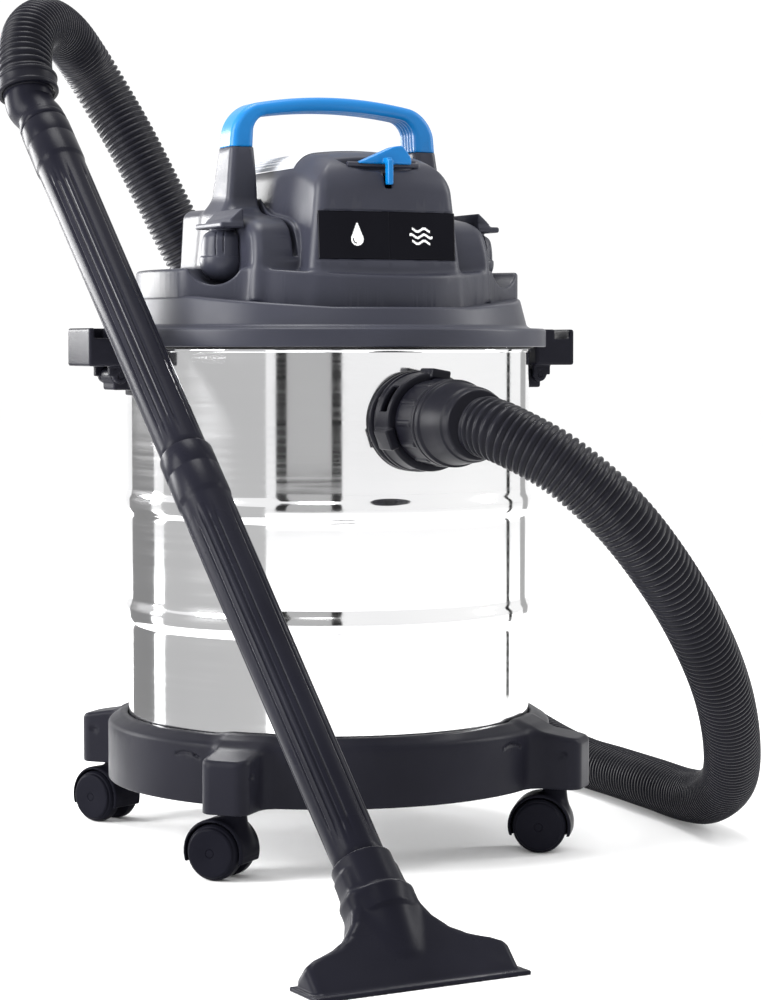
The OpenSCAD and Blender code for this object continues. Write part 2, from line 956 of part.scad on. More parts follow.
base_ring();
tank_shell();
base_screws();
inlet_port();
inlet_gasket();
inlet_deflector();
inlet_screws();
mirror([1, 0, 0]) latch_bracket();  // latch_bracket_left
latch_bracket();  // latch_bracket_right
latch_rivets();
latch_pins();
mirror([1, 0, 0]) latch_lever();  // latch_lever_left
latch_lever();  // latch_lever_right
hose_connector();
lock_collar();
hose_cuff();
hose();
hose_end_cuff();
hose_elbow();
wand_tube(upper_start);  // wand_upper
wand_tube(lower_start);  // wand_lower
nozzle();
for (k = [0:3]) {
    caster_fork(k);
    caster_stem(k);
    caster_wheels(k);
}
lid();
lid_seal();
motor_cover();
fascia();
label_panel();
handle_grip();
roof_grille();
side_clips();
blower_port();
cord_gland();
cover_screws();
switch_lever();
switch_body();
fan_housing();
motor_stator();
motor_bearings();
motor_brushes();
motor_shaft();
armature();
impeller();
cooling_fan();
filter_cage();
filter_sleeve();
filter_retainer();
float_valve();
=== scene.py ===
"""Looks for the shop vacuum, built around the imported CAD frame. Metres; +Z up; the suction inlet faces -Y.
The distance fields below are in millimetres and are turned into metres as their meshes are made."""
import json
import math

import bpy
import numpy as np
from mathutils import Matrix, Vector


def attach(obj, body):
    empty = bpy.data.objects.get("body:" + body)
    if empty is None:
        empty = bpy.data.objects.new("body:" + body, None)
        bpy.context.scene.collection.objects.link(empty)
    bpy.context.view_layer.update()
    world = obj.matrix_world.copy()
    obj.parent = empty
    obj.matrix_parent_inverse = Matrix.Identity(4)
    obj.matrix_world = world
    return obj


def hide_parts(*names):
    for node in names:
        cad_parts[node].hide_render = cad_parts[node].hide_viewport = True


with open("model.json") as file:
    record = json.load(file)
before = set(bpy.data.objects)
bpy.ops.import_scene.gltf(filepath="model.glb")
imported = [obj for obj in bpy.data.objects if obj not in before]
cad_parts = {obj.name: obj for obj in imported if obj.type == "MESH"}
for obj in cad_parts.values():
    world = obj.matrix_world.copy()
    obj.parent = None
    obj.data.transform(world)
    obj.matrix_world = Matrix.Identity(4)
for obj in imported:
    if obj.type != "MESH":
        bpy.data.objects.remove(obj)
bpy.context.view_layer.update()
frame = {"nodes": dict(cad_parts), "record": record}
SLOT_OF = {s["node"]: s["material_slot"] for s in frame["record"]["subparts"]}

pi = math.pi
MM = 0.001


# ---------- camera ----------

CAMERA_AZIMUTH = math.radians(-23.5)
CAMERA_RANGE, CAMERA_HEIGHT = 1.930, 0.356
CAMERA_YAW, CAMERA_PITCH = math.radians(1.14), math.radians(-3.29)
CAMERA_LENS = 95.87


def make_camera():
    toward = Vector((math.sin(CAMERA_AZIMUTH), -math.cos(CAMERA_AZIMUTH), 0))
    place = toward * CAMERA_RANGE + Vector((0, 0, CAMERA_HEIGHT))
    heading = -toward
    right = heading.cross(Vector((0, 0, 1)))
    heading = (math.cos(CAMERA_YAW) * heading + math.sin(CAMERA_YAW) * right).normalized()
    aim = (math.cos(CAMERA_PITCH) * heading + math.sin(CAMERA_PITCH) * Vector((0, 0, 1))).normalized()
    data = bpy.data.cameras.new("camera")
    data.lens = CAMERA_LENS
    data.sensor_width = 36
    data.clip_end = 20
    camera = bpy.data.objects.new("camera", data)
    bpy.context.scene.collection.objects.link(camera)
    camera.location = place
    camera.rotation_euler = aim.to_track_quat("-Z", "Y").to_euler()
    bpy.context.scene.camera = camera


# ---------- materials ----------

class Nodes:
    """A small helper that adds shader nodes and links them."""

    def __init__(self, name, color, rough=0.5, metallic=0.0, specular=0.5):
        self.mat = bpy.data.materials.new(name)
        self.mat.use_nodes = True
        self.tree = self.mat.node_tree
        self.bsdf = self.tree.nodes["Principled BSDF"]
        self.set(self.bsdf, "Base Color", (*color, 1))
        self.set(self.bsdf, "Roughness", rough)
        self.set(self.bsdf, "Metallic", metallic)
        self.set(self.bsdf, "Specular IOR Level", specular)
        self.mat.diffuse_color = (*color, 1)

    def set(self, node, socket, value):
        node.inputs[socket].default_value = value

    def add(self, kind):
        return self.tree.nodes.new(kind)

    def link(self, a, b):
        self.tree.links.new(a, b)

    def coords(self, scale=(1, 1, 1)):
        place = self.add("ShaderNodeTexCoord")
        mapping = self.add("ShaderNodeMapping")
        mapping.inputs["Scale"].default_value = scale
        self.link(place.outputs["Object"], mapping.inputs["Vector"])
        return mapping.outputs["Vector"]

    def noise(self, scale, detail, stretch=(1, 1, 1)):
        node = self.add("ShaderNodeTexNoise")
        node.inputs["Scale"].default_value = scale
        node.inputs["Detail"].default_value = detail
        node.inputs["Roughness"].default_value = 0.5
        self.link(self.coords(stretch), node.inputs["Vector"])
        return node.outputs["Fac"]

    def spread(self, source, low, high, start=0.3, end=0.7):
        node = self.add("ShaderNodeMapRange")
        node.inputs["From Min"].default_value = start
        node.inputs["From Max"].default_value = end
        node.inputs["To Min"].default_value = low
        node.inputs["To Max"].default_value = high
        self.link(source, node.inputs["Value"])
        return node.outputs["Result"]

    def tint(self, source, a, b, start=0.35, end=0.65):
        ramp = self.add("ShaderNodeValToRGB")
        ramp.color_ramp.elements[0].position = start
        ramp.color_ramp.elements[0].color = (*a, 1)
        ramp.color_ramp.elements[1].position = end
        ramp.color_ramp.elements[1].color = (*b, 1)
        self.link(source, ramp.inputs["Fac"])
        return ramp.outputs["Color"]

    def bump(self, source, strength, distance=0.001):
        node = self.add("ShaderNodeBump")
        node.inputs["Strength"].default_value = strength
        node.inputs["Distance"].default_value = distance
        self.link(source, node.inputs["Height"])
        self.link(node.outputs["Normal"], self.bsdf.inputs["Normal"])


def moulded(name, color, rough, grain=1400, strength=0.25, lighter=None, coat=0.0, specular=0.3):
    """Moulded plastic: a fine texture, slightly uneven gloss and faint colour variation."""
    n = Nodes(name, color, rough, 0.0, specular)
    lighter = lighter or tuple(min(1, c * 1.35 + 0.002) for c in color)
    n.link(n.tint(n.noise(9, 3), color, lighter), n.bsdf.inputs["Base Color"])
    n.link(n.spread(n.noise(28, 4), rough - 0.04, rough + 0.06), n.bsdf.inputs["Roughness"])
    n.bump(n.noise(grain, 2), strength, 0.0002)
    if coat:
        n.set(n.bsdf, "Coat Weight", coat)
        n.set(n.bsdf, "Coat Roughness", 0.08)
    return n.mat


def steel_sheet(name):
    """Polished steel with a fine grain round the tank and a faint unevenness."""
    n = Nodes(name, (0.86, 0.86, 0.87), 0.1, 1.0)
    n.link(n.spread(n.noise(60, 5, (0.15, 0.15, 6)), 0.05, 0.11), n.bsdf.inputs["Roughness"])
    n.link(n.tint(n.noise(5, 3, (1, 1, 0.4)), (0.80, 0.80, 0.81), (0.89, 0.89, 0.89)),
           n.bsdf.inputs["Base Color"])
    n.bump(n.noise(10, 2, (1, 1, 0.3)), 0.05, 0.004)
    return n.mat


def plain_metal(name, color, rough):
    n = Nodes(name, color, rough, 1.0)
    n.link(n.spread(n.noise(120, 4), rough - 0.06, rough + 0.1), n.bsdf.inputs["Roughness"])
    n.link(n.tint(n.noise(40, 3), tuple(0.88 * c for c in color), color), n.bsdf.inputs["Base Color"])
    n.bump(n.noise(500, 2), 0.08, 0.0003)
    return n.mat


M = {
    "tank_steel": steel_sheet("tank_steel"),
    "cover_grey": moulded("cover_grey", (0.021, 0.022, 0.032), 0.38, strength=0.2, specular=0.22),
    "base_black": moulded("base_black", (0.007, 0.007, 0.011), 0.36, strength=0.18, specular=0.07),
    "fitting_black": moulded("fitting_black", (0.005, 0.005, 0.008), 0.34, strength=0.15, specular=0.10),
    "hose_black": moulded("hose_black", (0.004, 0.004, 0.007), 0.36, grain=900, strength=0.1,
                          specular=0.10),
    "wand_black": moulded("wand_black", (0.006, 0.006, 0.010), 0.29, strength=0.1, specular=0.05),
    "blue": moulded("blue", (0.0, 0.125, 0.36), 0.34, lighter=(0.0, 0.145, 0.41), strength=0.12),
    "label_black": moulded("label_black", (0.002, 0.002, 0.004), 0.14, strength=0.02, specular=0.05,
                           coat=0.04),
    "wheel_black": moulded("wheel_black", (0.005, 0.005, 0.008), 0.32, strength=0.1, specular=0.02),
    "hardware": plain_metal("hardware", (0.62, 0.62, 0.63), 0.30),
    "seal_rubber": moulded("seal_rubber", (0.008, 0.008, 0.008), 0.62),
    "stator_iron": plain_metal("stator_iron", (0.22, 0.19, 0.16), 0.5),
    "copper_winding": plain_metal("copper_winding", (0.62, 0.28, 0.12), 0.4),
    "fan_metal": plain_metal("fan_metal", (0.74, 0.75, 0.76), 0.35),
    "carbon": moulded("carbon", (0.02, 0.02, 0.02), 0.6),
    "filter_foam": moulded("filter_foam", (0.26, 0.27, 0.28), 0.9, grain=300, strength=0.9),
    "float_plastic": moulded("float_plastic", (0.62, 0.62, 0.58), 0.45),
}
PRINT_WHITE = moulded("print_white", (0.80, 0.80, 0.80), 0.35, strength=0.05)
GRILLE_GREY = moulded("grille_grey", (0.42, 0.43, 0.45), 0.45, strength=0.1)


# ---------- mesh helpers ----------

def add_mesh(name, verts, faces, slot, body, smooth=True, replaces=(), mat=None):
    mesh = bpy.data.meshes.new(name)
    mesh.from_pydata([tuple(v) for v in verts], [], faces)
    mesh.validate()
    mesh.update()
    piece = bpy.data.objects.new(name, mesh)
    bpy.context.scene.collection.objects.link(piece)
    mesh.materials.append(mat or M[slot])
    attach(piece, body)
    if replaces:
        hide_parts(*replaces)
    if smooth:
        mesh.shade_smooth()
    return piece


def bake(piece):
    """Applies the piece's modifiers."""
    graph = bpy.context.evaluated_depsgraph_get()
    mesh = bpy.data.meshes.new_from_object(piece.evaluated_get(graph))
    piece.modifiers.clear()
    piece.data = mesh


def catmull(points, steps):
    out = []
    n = len(points)
    for i in range(n - 1):
        a, b, c, d = points[max(i - 1, 0)], points[i], points[i + 1], points[min(i + 2, n - 1)]
        for k in range(steps):
            t = k / steps
            out.append(0.5 * (2 * b + (c - a) * t + (2 * a - 5 * b + 4 * c - d) * t * t
                              + (3 * b - a - 3 * c + d) * t * t * t))
    out.append(points[-1].copy())
    return out


def evenly(points, step):
    """Resamples a line at an even spacing; the ends stay."""
    lengths = [0.0]
    for a, b in zip(points, points[1:]):
        lengths.append(lengths[-1] + (b - a).length)
    total = lengths[-1]
    count = max(2, round(total / step))
    out, j = [], 0
    for i in range(count + 1):
        s = total * i / count
        while j < len(points) - 2 and lengths[j + 1] < s:
            j += 1
        t = (s - lengths[j]) / (lengths[j + 1] - lengths[j])
        out.append(points[j].lerp(points[j + 1], t))
    return out, total


def sweep(points, radii, sides):
    """A closed tube along points with a radius at each point."""
    verts, faces = [], []
    side = Vector((0.31, 0.2, 1))
    n = len(points)
    for i, p in enumerate(points):
        t = (points[min(i + 1, n - 1)] - points[max(i - 1, 0)]).normalized()
        side = (side - side.dot(t) * t).normalized()
        other = t.cross(side)
        for k in range(sides):
            a = 2 * pi * k / sides
            verts.append(p + radii[i] * (math.cos(a) * side + math.sin(a) * other))
    for i in range(n - 1):
        for k in range(sides):
            a, b = i * sides + k, i * sides + (k + 1) % sides
            faces.append((a, b, b + sides, a + sides))
    faces.append(tuple(range(sides - 1, -1, -1)))
    faces.append(tuple((n - 1) * sides + k for k in range(sides)))
    return verts, faces


def rounded(outline, radius, steps=4):
    """Rounds the corners of a closed outline of (r, z) points."""
    out = []
    n = len(outline)
    for i in range(n):
        p, a, b = (np.array(outline[j % n], float) for j in (i, i - 1, i + 1))
        la, lb = np.linalg.norm(a - p), np.linalg.norm(b - p)
        reach = min(radius, 0.45 * la, 0.45 * lb)
        start, end = p + (a - p) * reach / la, p + (b - p) * reach / lb
        for k in range(steps + 1):
            t = k / steps
            out.append(tuple((1 - t) ** 2 * start + 2 * t * (1 - t) * p + t * t * end))
    return out


def lathe(name, outline, slot, body, sides=128, matrix=None, replaces=()):
    """Turns a closed outline of (r, z) points in millimetres about the local Z axis."""
    matrix = matrix or Matrix()
    n = len(outline)
    verts, faces = [], []
    for k in range(sides):
        a = 2 * pi * k / sides
        for r, z in outline:
            verts.append((matrix @ Vector((r * math.cos(a), r * math.sin(a), z))) * MM)
    for k in range(sides):
        for i in range(n):
            a, b = k * n, (k + 1) % sides * n
            j = (i + 1) % n
            faces.append((a + i, b + i, b + j, a + j))
    piece = add_mesh(name, verts, faces, slot, body, replaces=replaces)
    piece.data.set_sharp_from_angle(angle=math.radians(32))
    return piece


# ---------- shapes from distance fields ----------

def corner(a, b, r):
    """The overlap of two shapes, with a rounded edge of radius r."""
    a, b = a + r, b + r
    return np.sqrt(np.maximum(a, 0) ** 2 + np.maximum(b, 0) ** 2) + np.minimum(np.maximum(a, b), 0) - r


def disc(radial, along, radius, low, high, r=0.0):
    return corner(radial - radius, np.abs(along - (low + high) / 2) - (high - low) / 2, r)


def block(x, y, z, center, half, r=1.0):
    x, y, z = (np.abs(v - c) - h + r for v, c, h in zip((x, y, z), center, half))
    outside = np.sqrt(np.maximum(x, 0) ** 2 + np.maximum(y, 0) ** 2 + np.maximum(z, 0) ** 2)
    return outside + np.minimum(np.maximum(np.maximum(x, y), z), 0) - r


def join(a, b, k):
    h = np.clip(0.5 + 0.5 * (b - a) / k, 0, 1)
    return b + (a - b) * h - k * h * (1 - h)


def cut(a, b, k=0.6):
    """a without b, with a rounded edge."""
    return -join(-a, b, k)


def surface_nets(field, low, high, step):
    """A closed quad mesh on the zero level of a field."""
    axes = [np.arange(a - 2 * step, b + 3 * step, step) for a, b in zip(low, high)]
    x, y, z = np.meshgrid(*axes, indexing="ij", sparse=True)
    f = np.broadcast_to(field(x, y, z), [len(a) for a in axes]).astype(np.float32)
    inside = f < 0
    n = f.shape
    corners = [(i, j, k) for i in (0, 1) for j in (0, 1) for k in (0, 1)]
    count = sum(inside[i:n[0] - 1 + i, j:n[1] - 1 + j, k:n[2] - 1 + k].astype(np.uint8)
                for i, j, k in corners)
    active = (count > 0) & (count < 8)
    cells = np.argwhere(active)
    number = np.full(active.shape, -1, np.int32)
    number[active] = np.arange(len(cells))
    values = [f[cells[:, 0] + i, cells[:, 1] + j, cells[:, 2] + k] for i, j, k in corners]
    total = np.zeros((len(cells), 3))
    hits = np.zeros((len(cells), 1))
    for a in range(8):
        for b in range(a + 1, 8):
            way = np.subtract(corners[b], corners[a])
            if abs(way).sum() != 1:
                continue
            crossed = ((values[a] < 0) != (values[b] < 0))[:, None]
            t = (values[a] / np.where(crossed[:, 0], values[a] - values[b], 1))[:, None]
            total += np.where(crossed, np.array(corners[a]) + t * way, 0)
            hits += crossed
    points = (cells + total / hits) * step + [a[0] for a in axes]
    faces = []
    for axis in range(3):
        u, v = (axis + 1) % 3, (axis + 2) % 3
        first = np.take(inside, range(n[axis] - 1), axis)
        second = np.take(inside, range(1, n[axis]), axis)
        for solid_first in (True, False):
            edge = np.argwhere(first & ~second if solid_first else second & ~first)
            edge = edge[(edge[:, u] > 0) & (edge[:, v] > 0)
                        & (edge[:, u] < n[u] - 1) & (edge[:, v] < n[v] - 1)]
            ring = []
            for du, dv in ((-1, -1), (0, -1), (0, 0), (-1, 0)):
                cell = edge.copy()
                cell[:, u] += du
                cell[:, v] += dv
                ring.append(number[cell[:, 0], cell[:, 1], cell[:, 2]])
            faces.append(np.stack(ring if solid_first else ring[::-1], 1))
    for _ in range(3):
        x, y, z = points.T
        e = 0.04
        here = field(x, y, z)
        slope = np.stack([field(x + e, y, z) - field(x - e, y, z), field(x, y + e, z) - field(x, y - e, z),
                          field(x, y, z + e) - field(x, y, z - e)], 1) / (2 * e)
        size = np.maximum((slope ** 2).sum(1), 0.25)
        move = np.clip(here / size, -0.4 * step, 0.4 * step)
        points = points - slope * move[:, None]
    return points, np.concatenate(faces)


def thinned(piece, keep):
    thin = piece.modifiers.new("thin", "DECIMATE")
    thin.ratio = keep
    bake(piece)
    piece.data.shade_smooth()


def formed(name, field, low, high, step, slot, body, keep, replaces):
    """A moulded piece: the field's surface as a mesh, thinned to a share of its faces."""
    points, faces = surface_nets(field, low, high, step)
    piece = add_mesh(name, points * MM, faces.tolist(), slot, body, replaces=replaces)
    thinned(piece, keep)
    return piece


# ---------- hose ----------

INLET_Z = 306
HOSE_ROUTE = [Vector(p) * MM for p in (
    (0, -243, 306), (8, -267, 300), (34, -292, 281), (68, -304, 250), (105, -300, 210),
    (142, -282, 168), (178, -252, 126), (212, -210, 84), (239, -164, 50), (256, -112, 28),
    (264, -66, 21), (267, -12, 21), (270, 50, 21), (270, 108, 22), (262, 160, 32), (240, 203, 54),
    (200, 230, 90), (150, 238, 142), (98, 228, 205), (50, 208, 272), (14, 192, 335),
    (-14, 187, 390), (-38, 190, 432), (-58, 197, 474), (-76, 207, 514), (-92, 217, 547),
    (-109, 219, 574), (-131, 204, 594), (-156, 175, 599), (-177, 147, 587), (-187, 127, 564),
    (-188, 116, 540))]


def make_hose():
    line, length = evenly(catmull(HOSE_ROUTE, 30), 0.00075)
    profile = (0.0174, 0.0190, 0.0198, 0.01995, 0.0198, 0.0190)
    radii = [0.0186 if min(i, len(line) - 1 - i) < 5 else profile[i % 6] for i in range(len(line))]
    verts, faces = sweep(line, radii, 40)
    hose = add_mesh("hose_tube", verts, faces, "hose_black", "chassis", replaces=("hose",))
    hose.visible_glossy = False


# ---------- tank and lid ----------

def bead(z, middle):
    return 2 * math.exp(-((z - middle) / 7) ** 4)


def make_tank():
    def wall(r):
        return [(r + bead(z, 245) + bead(z, 167), z) for z in [66 + 1.5 * k for k in range(191)]]
    outline = ([(20, 62), (138, 62), (142.5, 63), (144.4, 64.4)] + wall(145)
               + [(145, 352.3), (146.2, 352.8), (146.5, 353.9), (146.2, 354.9), (144, 355)]
               + wall(144)[::-1] + [(141, 63.8), (137, 63), (20, 63)])
    lathe("tank", outline, "tank_steel", "chassis", 256, replaces=("tank_shell",))
    lathe("tank_floor", rounded([(0.01, 62), (20.2, 62), (20.2, 63), (0.01, 63)], 0.1, 1), "tank_steel",
          "chassis", 48)


def make_lid():
    outline = [(24, 376), (139, 376), (139, 362), (142, 362), (142, 358.4), (150, 358.4), (150, 356),
               (157, 356), (157, 367.6), (155.6, 369), (146, 369.4), (143.2, 371), (138.6, 389.6),
               (137, 391), (116, 391), (116, 388), (134.5, 388), (137, 379), (24, 379)]
    lid = lathe("lid_turned", rounded(outline, 1.1, 4), "cover_grey", "head", 192, replaces=("lid",))
    for vertex in lid.data.vertices:
        x, y, z = (c / MM for c in vertex.co)
        share = min(max((z - 372) / 12, 0), 1)
        if share > 0 and math.hypot(x, y) > 100:
            vertex.co.z -= float(seam(x, y)) * share * MM


# ---------- motor cover ----------

TIER_TOP = 409.5
SEAM_DIP = 8.0
CLIP_CENTER = (96, -38, 416)
CLIP_INNER = 90.05
SCOOP_RADIUS = 21.5
CHAMFER = (0.579, -0.815)


def clip_coords(x, y, z):
    return np.abs(x) - CLIP_CENTER[0], y - CLIP_CENTER[1], z - CLIP_CENTER[2]


def seam(x, y):
    """How far the joint of lid and cover dips around the front."""
    turn = np.degrees(np.arctan2(np.abs(x), -y))
    return SEAM_DIP * np.clip((66 - turn) / 44, 0, 1) ** 0.8


def front_face(x, z):
    """The y of the crown's front surface."""
    return -(108 - 0.06 * (z - 400) - 0.0012 * x * x)


def cover_form(x, y, z, floor=388.0):
    """The cover as a filled form: a low tier with wings, the crown, the shoulders and the handle's posts."""
    radial = np.sqrt(x * x + y * y)
    ax, ay = np.abs(x), np.abs(y)
    top = TIER_TOP - 5.0 * np.clip(-y / 60, 0, 1) * (1 - np.minimum(ax / 88, 1) ** 2)
    low = floor - seam(x, y)
    level = np.maximum(z - top, low - z)
    wing = corner(corner(radial - 138, CHAMFER[0] * ax - CHAMFER[1] * ay - 113.8, 3), ay - 75.5, 2)
    tier = join(corner(radial - 118, level, 2.2), corner(wing, level, 2.2), 3)
    plan = corner(ax - (58.5 - 0.11 * (z - 400)),
                  np.maximum(front_face(x, z) - y, y - (97 - 0.10 * (z - 400))), 8)
    front_drop = 10 * (np.maximum(-45 - y, 0) / 50) ** 2
    rear_drop = 12 * (np.maximum(y - 30, 0) / 60) ** 2
    crown = corner(plan, z - (493 - 0.0020 * x * x - front_drop - rear_drop), 15)
    crown = np.maximum(crown, low - z)
    shoulder = corner(corner(ax - (91 - 0.06 * (z - 400)), y - 74, 14), z - (453.5 + 0.144 * y), 9)
    shoulder = corner(shoulder, corner(-83 - y, z - 455, 42), 7)
    post = corner(np.abs(ax - 71) - (9 + 0.12 * (497 - z)), ay - (14 + 0.10 * (497 - z)), 5)
    post = np.maximum(post, z - 497)
    sides = join(shoulder, post, 16)
    sides = np.maximum(np.maximum(sides, floor - z), z - 497)
    groove = np.maximum(np.abs(ax - 60.2) - 1.7, 418 - z)
    sides = cut(sides, groove, 1.5)
    return join(join(crown, tier, 5), join(sides, tier, 5), 1.5)


def cover_field(x, y, z):
    outer = cover_form(x, y, z)
    inner = np.maximum(cover_form(x, y, z, 370.0) + 3, z - 488)
    ax = np.abs(x)
    # a shallow seat for the label, the pocket and slot for the switch, and the grille's seat in the roof
    label = np.maximum(np.maximum(ax - 53, np.abs(z - 432.2) - 17.2), y - front_face(x, z) - 1.4)
    pocket = corner(np.maximum(ax - 31, y + 84.3), (477 + 8 * (ax / 32) ** 4) - z, 2)
    stem = np.maximum(np.maximum(ax - 2.7, y + 97), 464.5 - z)
    roof = corner(corner(ax - 37.5, np.abs(y - 2) - 53.5, 5), (488.6 - 0.0020 * x * x) - z, 0.5)
    cx, cy, cz = clip_coords(x, y, z)
    # a round hollow for each clip, running out through the wing's cut corner
    along = np.maximum(CHAMFER[0] * cx + CHAMFER[1] * cy, 0)
    away = (cx - CHAMFER[0] * along) ** 2 + (cy - CHAMFER[1] * along) ** 2 + (cz - 4) ** 2
    scoop = np.maximum(np.sqrt(away) - SCOOP_RADIUS, CLIP_INNER - np.abs(x))
    # the blower port's and the cord's holes in the rear wall
    ports = np.minimum(np.sqrt((x - 30) ** 2 + (z - 430) ** 2) - 17.1,
                       np.sqrt((x + 38) ** 2 + (z - 420) ** 2) - 6.1)
    outer = cut(outer, label, 0.5)
    outer = cut(outer, roof, 1.0)
    outer = cut(outer, pocket, 2.0)
    outer = cut(outer, stem, 0.5)
    outer = cut(outer, scoop, 1.2)
    # the shell's inside stays clear of the scoops and the pocket
    walls = np.minimum(np.minimum(scoop - 2.2, pocket - 2.5), roof - 1.5)
    inner = np.maximum(inner, -walls)
    return np.maximum(np.maximum(outer, -inner), -np.maximum(ports, 60 - y))


def make_cover():
    formed("cover", cover_field, (-139, -119, 379), (139, 119, 498), 1.25, "cover_grey", "head", 0.32,
           replaces=("motor_cover", "fascia"))


def drop_sign(u, v):
    """A water drop's outline around the origin, in millimetres."""
    lower = np.hypot(u, v + 2.6) - 4.6
    upper = np.maximum(np.abs(u) - np.maximum(9.4 - v, 0) * 0.40, -(v + 0.6))
    shape = np.minimum(lower, np.maximum(upper, v - 8.4))
    glint = np.abs(np.hypot(u, v + 2.6) - 2.9) - 0.45
    return np.maximum(shape, -np.maximum(glint, np.maximum(u + 0.4, v + 2.0)))


def air_sign(u, v):
    """Three flowing lines of air."""
    field = np.full(np.broadcast(u, v).shape, 9.0)
    for level, reach in ((4.2, 7.0), (0.0, 9.0), (-4.2, 7.0)):
        wave = level + 1.1 * np.sin(u * 0.62)
        field = np.minimum(field, np.maximum(np.abs(v - wave) - 0.85, np.abs(u) - reach))
    return field


def make_label():
    step = 0.4
    us = np.arange(-51.6, 51.61, step)
    vs = np.arange(415.8, 448.61, step)
    u, v = np.meshgrid(us, vs, indexing="ij")
    y = front_face(u, v) + 0.55
    edge = np.minimum(51.6 - np.abs(u), 16.4 - np.abs(v - 432.2))
    y = y + 0.7 * np.clip(1 - edge / 0.9, 0, 1) ** 2 + 0.35 * np.clip(1 - np.abs(u) / 0.5, 0, 1)
    front = np.stack([u, y, v], -1).reshape(-1, 3)
    back = front + [0, 1.1, 0]
    nu, nv = len(us), len(vs)
    number = np.arange(nu * nv).reshape(nu, nv)
    quads = np.stack([number[:-1, :-1], number[1:, :-1], number[1:, 1:], number[:-1, 1:]], -1)
    rim = np.concatenate([number[:, 0], number[-1, 1:], number[-2::-1, -1], number[0, -2:0:-1]])
    sides = [(int(a), int(a) + nu * nv, int(b) + nu * nv, int(b)) for a, b in zip(rim, np.roll(rim, -1))]
    faces = quads.reshape(-1, 4).tolist() + sides
    plate = add_mesh("label_plate", np.concatenate([front, back]) * MM, faces, "label_black", "head",
                     replaces=("label_panel",))
    plate.data.materials.append(PRINT_WHITE)
    cu = (u[:-1, :-1] + step / 2).reshape(-1)
    cv = (v[:-1, :-1] + step / 2 - 432.2).reshape(-1)
    white = np.minimum(drop_sign(cu + 24, cv), air_sign(cu - 24, cv)) < 0
    for i in np.nonzero(white)[0]:
        plate.data.polygons[int(i)].material_index = 1


def make_grille():
    """A wire mesh draped over the roof and a little way down its sides."""
    nx, ny = 40, 40
    t = np.linspace(-1, 1, nx + 1)
    x, y = np.meshgrid(49.6 * t - 1.4 * t ** 5, np.linspace(-50, 56, ny + 1), indexing="ij")
    low, high = np.full(x.shape, 450.0), np.full(x.shape, 500.0)
    for _ in range(20):
        middle = (low + high) / 2
        inside = cover_form(x, y, middle) < 0
        low, high = np.where(inside, middle, low), np.where(inside, high, middle)
    verts = np.stack([x, y, low + 0.6], -1).reshape(-1, 3) * MM
    faces = []
    for i in range(nx):
        for j in range(ny):
            a = i * (ny + 1) + j
            faces.append((a, a + ny + 1, a + ny + 2, a + 1))
    mesh = add_mesh("grille_mesh", verts, faces, "cover_grey", "head", False, ("roof_grille",), GRILLE_GREY)
    wires = mesh.modifiers.new("wires", "WIREFRAME")
    wires.thickness = 0.0011
    wires.use_boundary = True
    bake(mesh)


def clips_field(x, y, z):
    cx, cy, cz = clip_coords(x, y, z)
    radial = np.hypot(cx, cy)
    dome = np.sqrt(cx * cx + cy * cy + (cz * 1.06) ** 2) - 16.6
    arch = corner(radial - (15.6 - 0.00035 * np.maximum(cz, 0) ** 3), cz - 20.5, 5)
    arch = np.maximum(arch, 2 - cz)
    knob = join(np.maximum(dome, cz - 2.2), arch, 0.8)
    lines = np.maximum(np.abs(np.abs(cx + 0.6 * cy) - 3.2) - 0.45, np.maximum(3 - cz, cz - 19))
    knob = cut(knob, np.maximum(lines, -(knob + 0.7)), 0.3)
    neck = corner(radial - 9, np.abs(cz - 16) - 7.4, 1)
    slope = z - (452 - 0.9 * np.maximum(np.abs(x) - 90, 0))
    shelf = block(cx, cy, cz, (1.5, 1, 23.7), (9.5, 25, 2.0), 1.4)
    rib = np.maximum(block(cx, cy, cz, (-2, 1, 29), (5.4, 24, 6), 1.0), slope)
    form = join(join(join(knob, neck, 2), shelf, 1.5), rib, 2.5)
    return np.maximum(form, CLIP_INNER - np.abs(x))


def make_clips():
    for name, low, high in (("clip_left", -115, -83), ("clip_right", 83, 115)):
        formed(name, clips_field, (low, -66, 395), (high, -9, 455), 0.7, "cover_grey", "head", 0.4,
               replaces=("side_clips",))


def grip_field(x, y, z):
    ax = np.abs(x)
    outer = corner(ax - (80 - 0.09 * (z - 497)), z - (534.2 - 0.0016 * x * x), 18)
    inner = corner(ax - (62.5 - 0.05 * (z - 497)), z - (523.6 - 0.0015 * x * x), 9)
    flutes = 0.75 * (0.5 + 0.5 * np.cos(2 * pi * y / 4.6)) * (np.abs(y) < 11.6)
    form = corner(outer, -inner + flutes, 2.5)
    form = corner(form, np.abs(y) - 14, 5.5)
    return np.maximum(form, 497.15 - z)


def make_grip():
    formed("grip", grip_field, (-81, -15, 496), (81, 15, 536), 0.8, "blue", "head", 0.45,
           replaces=("handle_grip",))


def switch_field(x, y, z):
    body = corner(corner(x - 20, z - 494.3, 1.2), 481.6 - z, 1.0)
    ramp = (z - 481.5) - (x + 21.5) * 0.44
    right = (z - 494.3) + (x - 13.5) * 1.25
    wedge = corner(np.maximum(body, -21.4 - x), np.maximum(ramp, right) * 0.85, 1.6)
    wedge = corner(wedge, np.abs(y + 94.5) - 4.5, 1.4)
    stem = block(x, y, z, (0, -105, 475.5), (2, 3, 8.5), 1.0)
    arm = block(x, y, z, (0, -101, 483.5), (2, 5, 2), 0.8)
    return join(join(wedge, stem, 1.0), arm, 1.0)


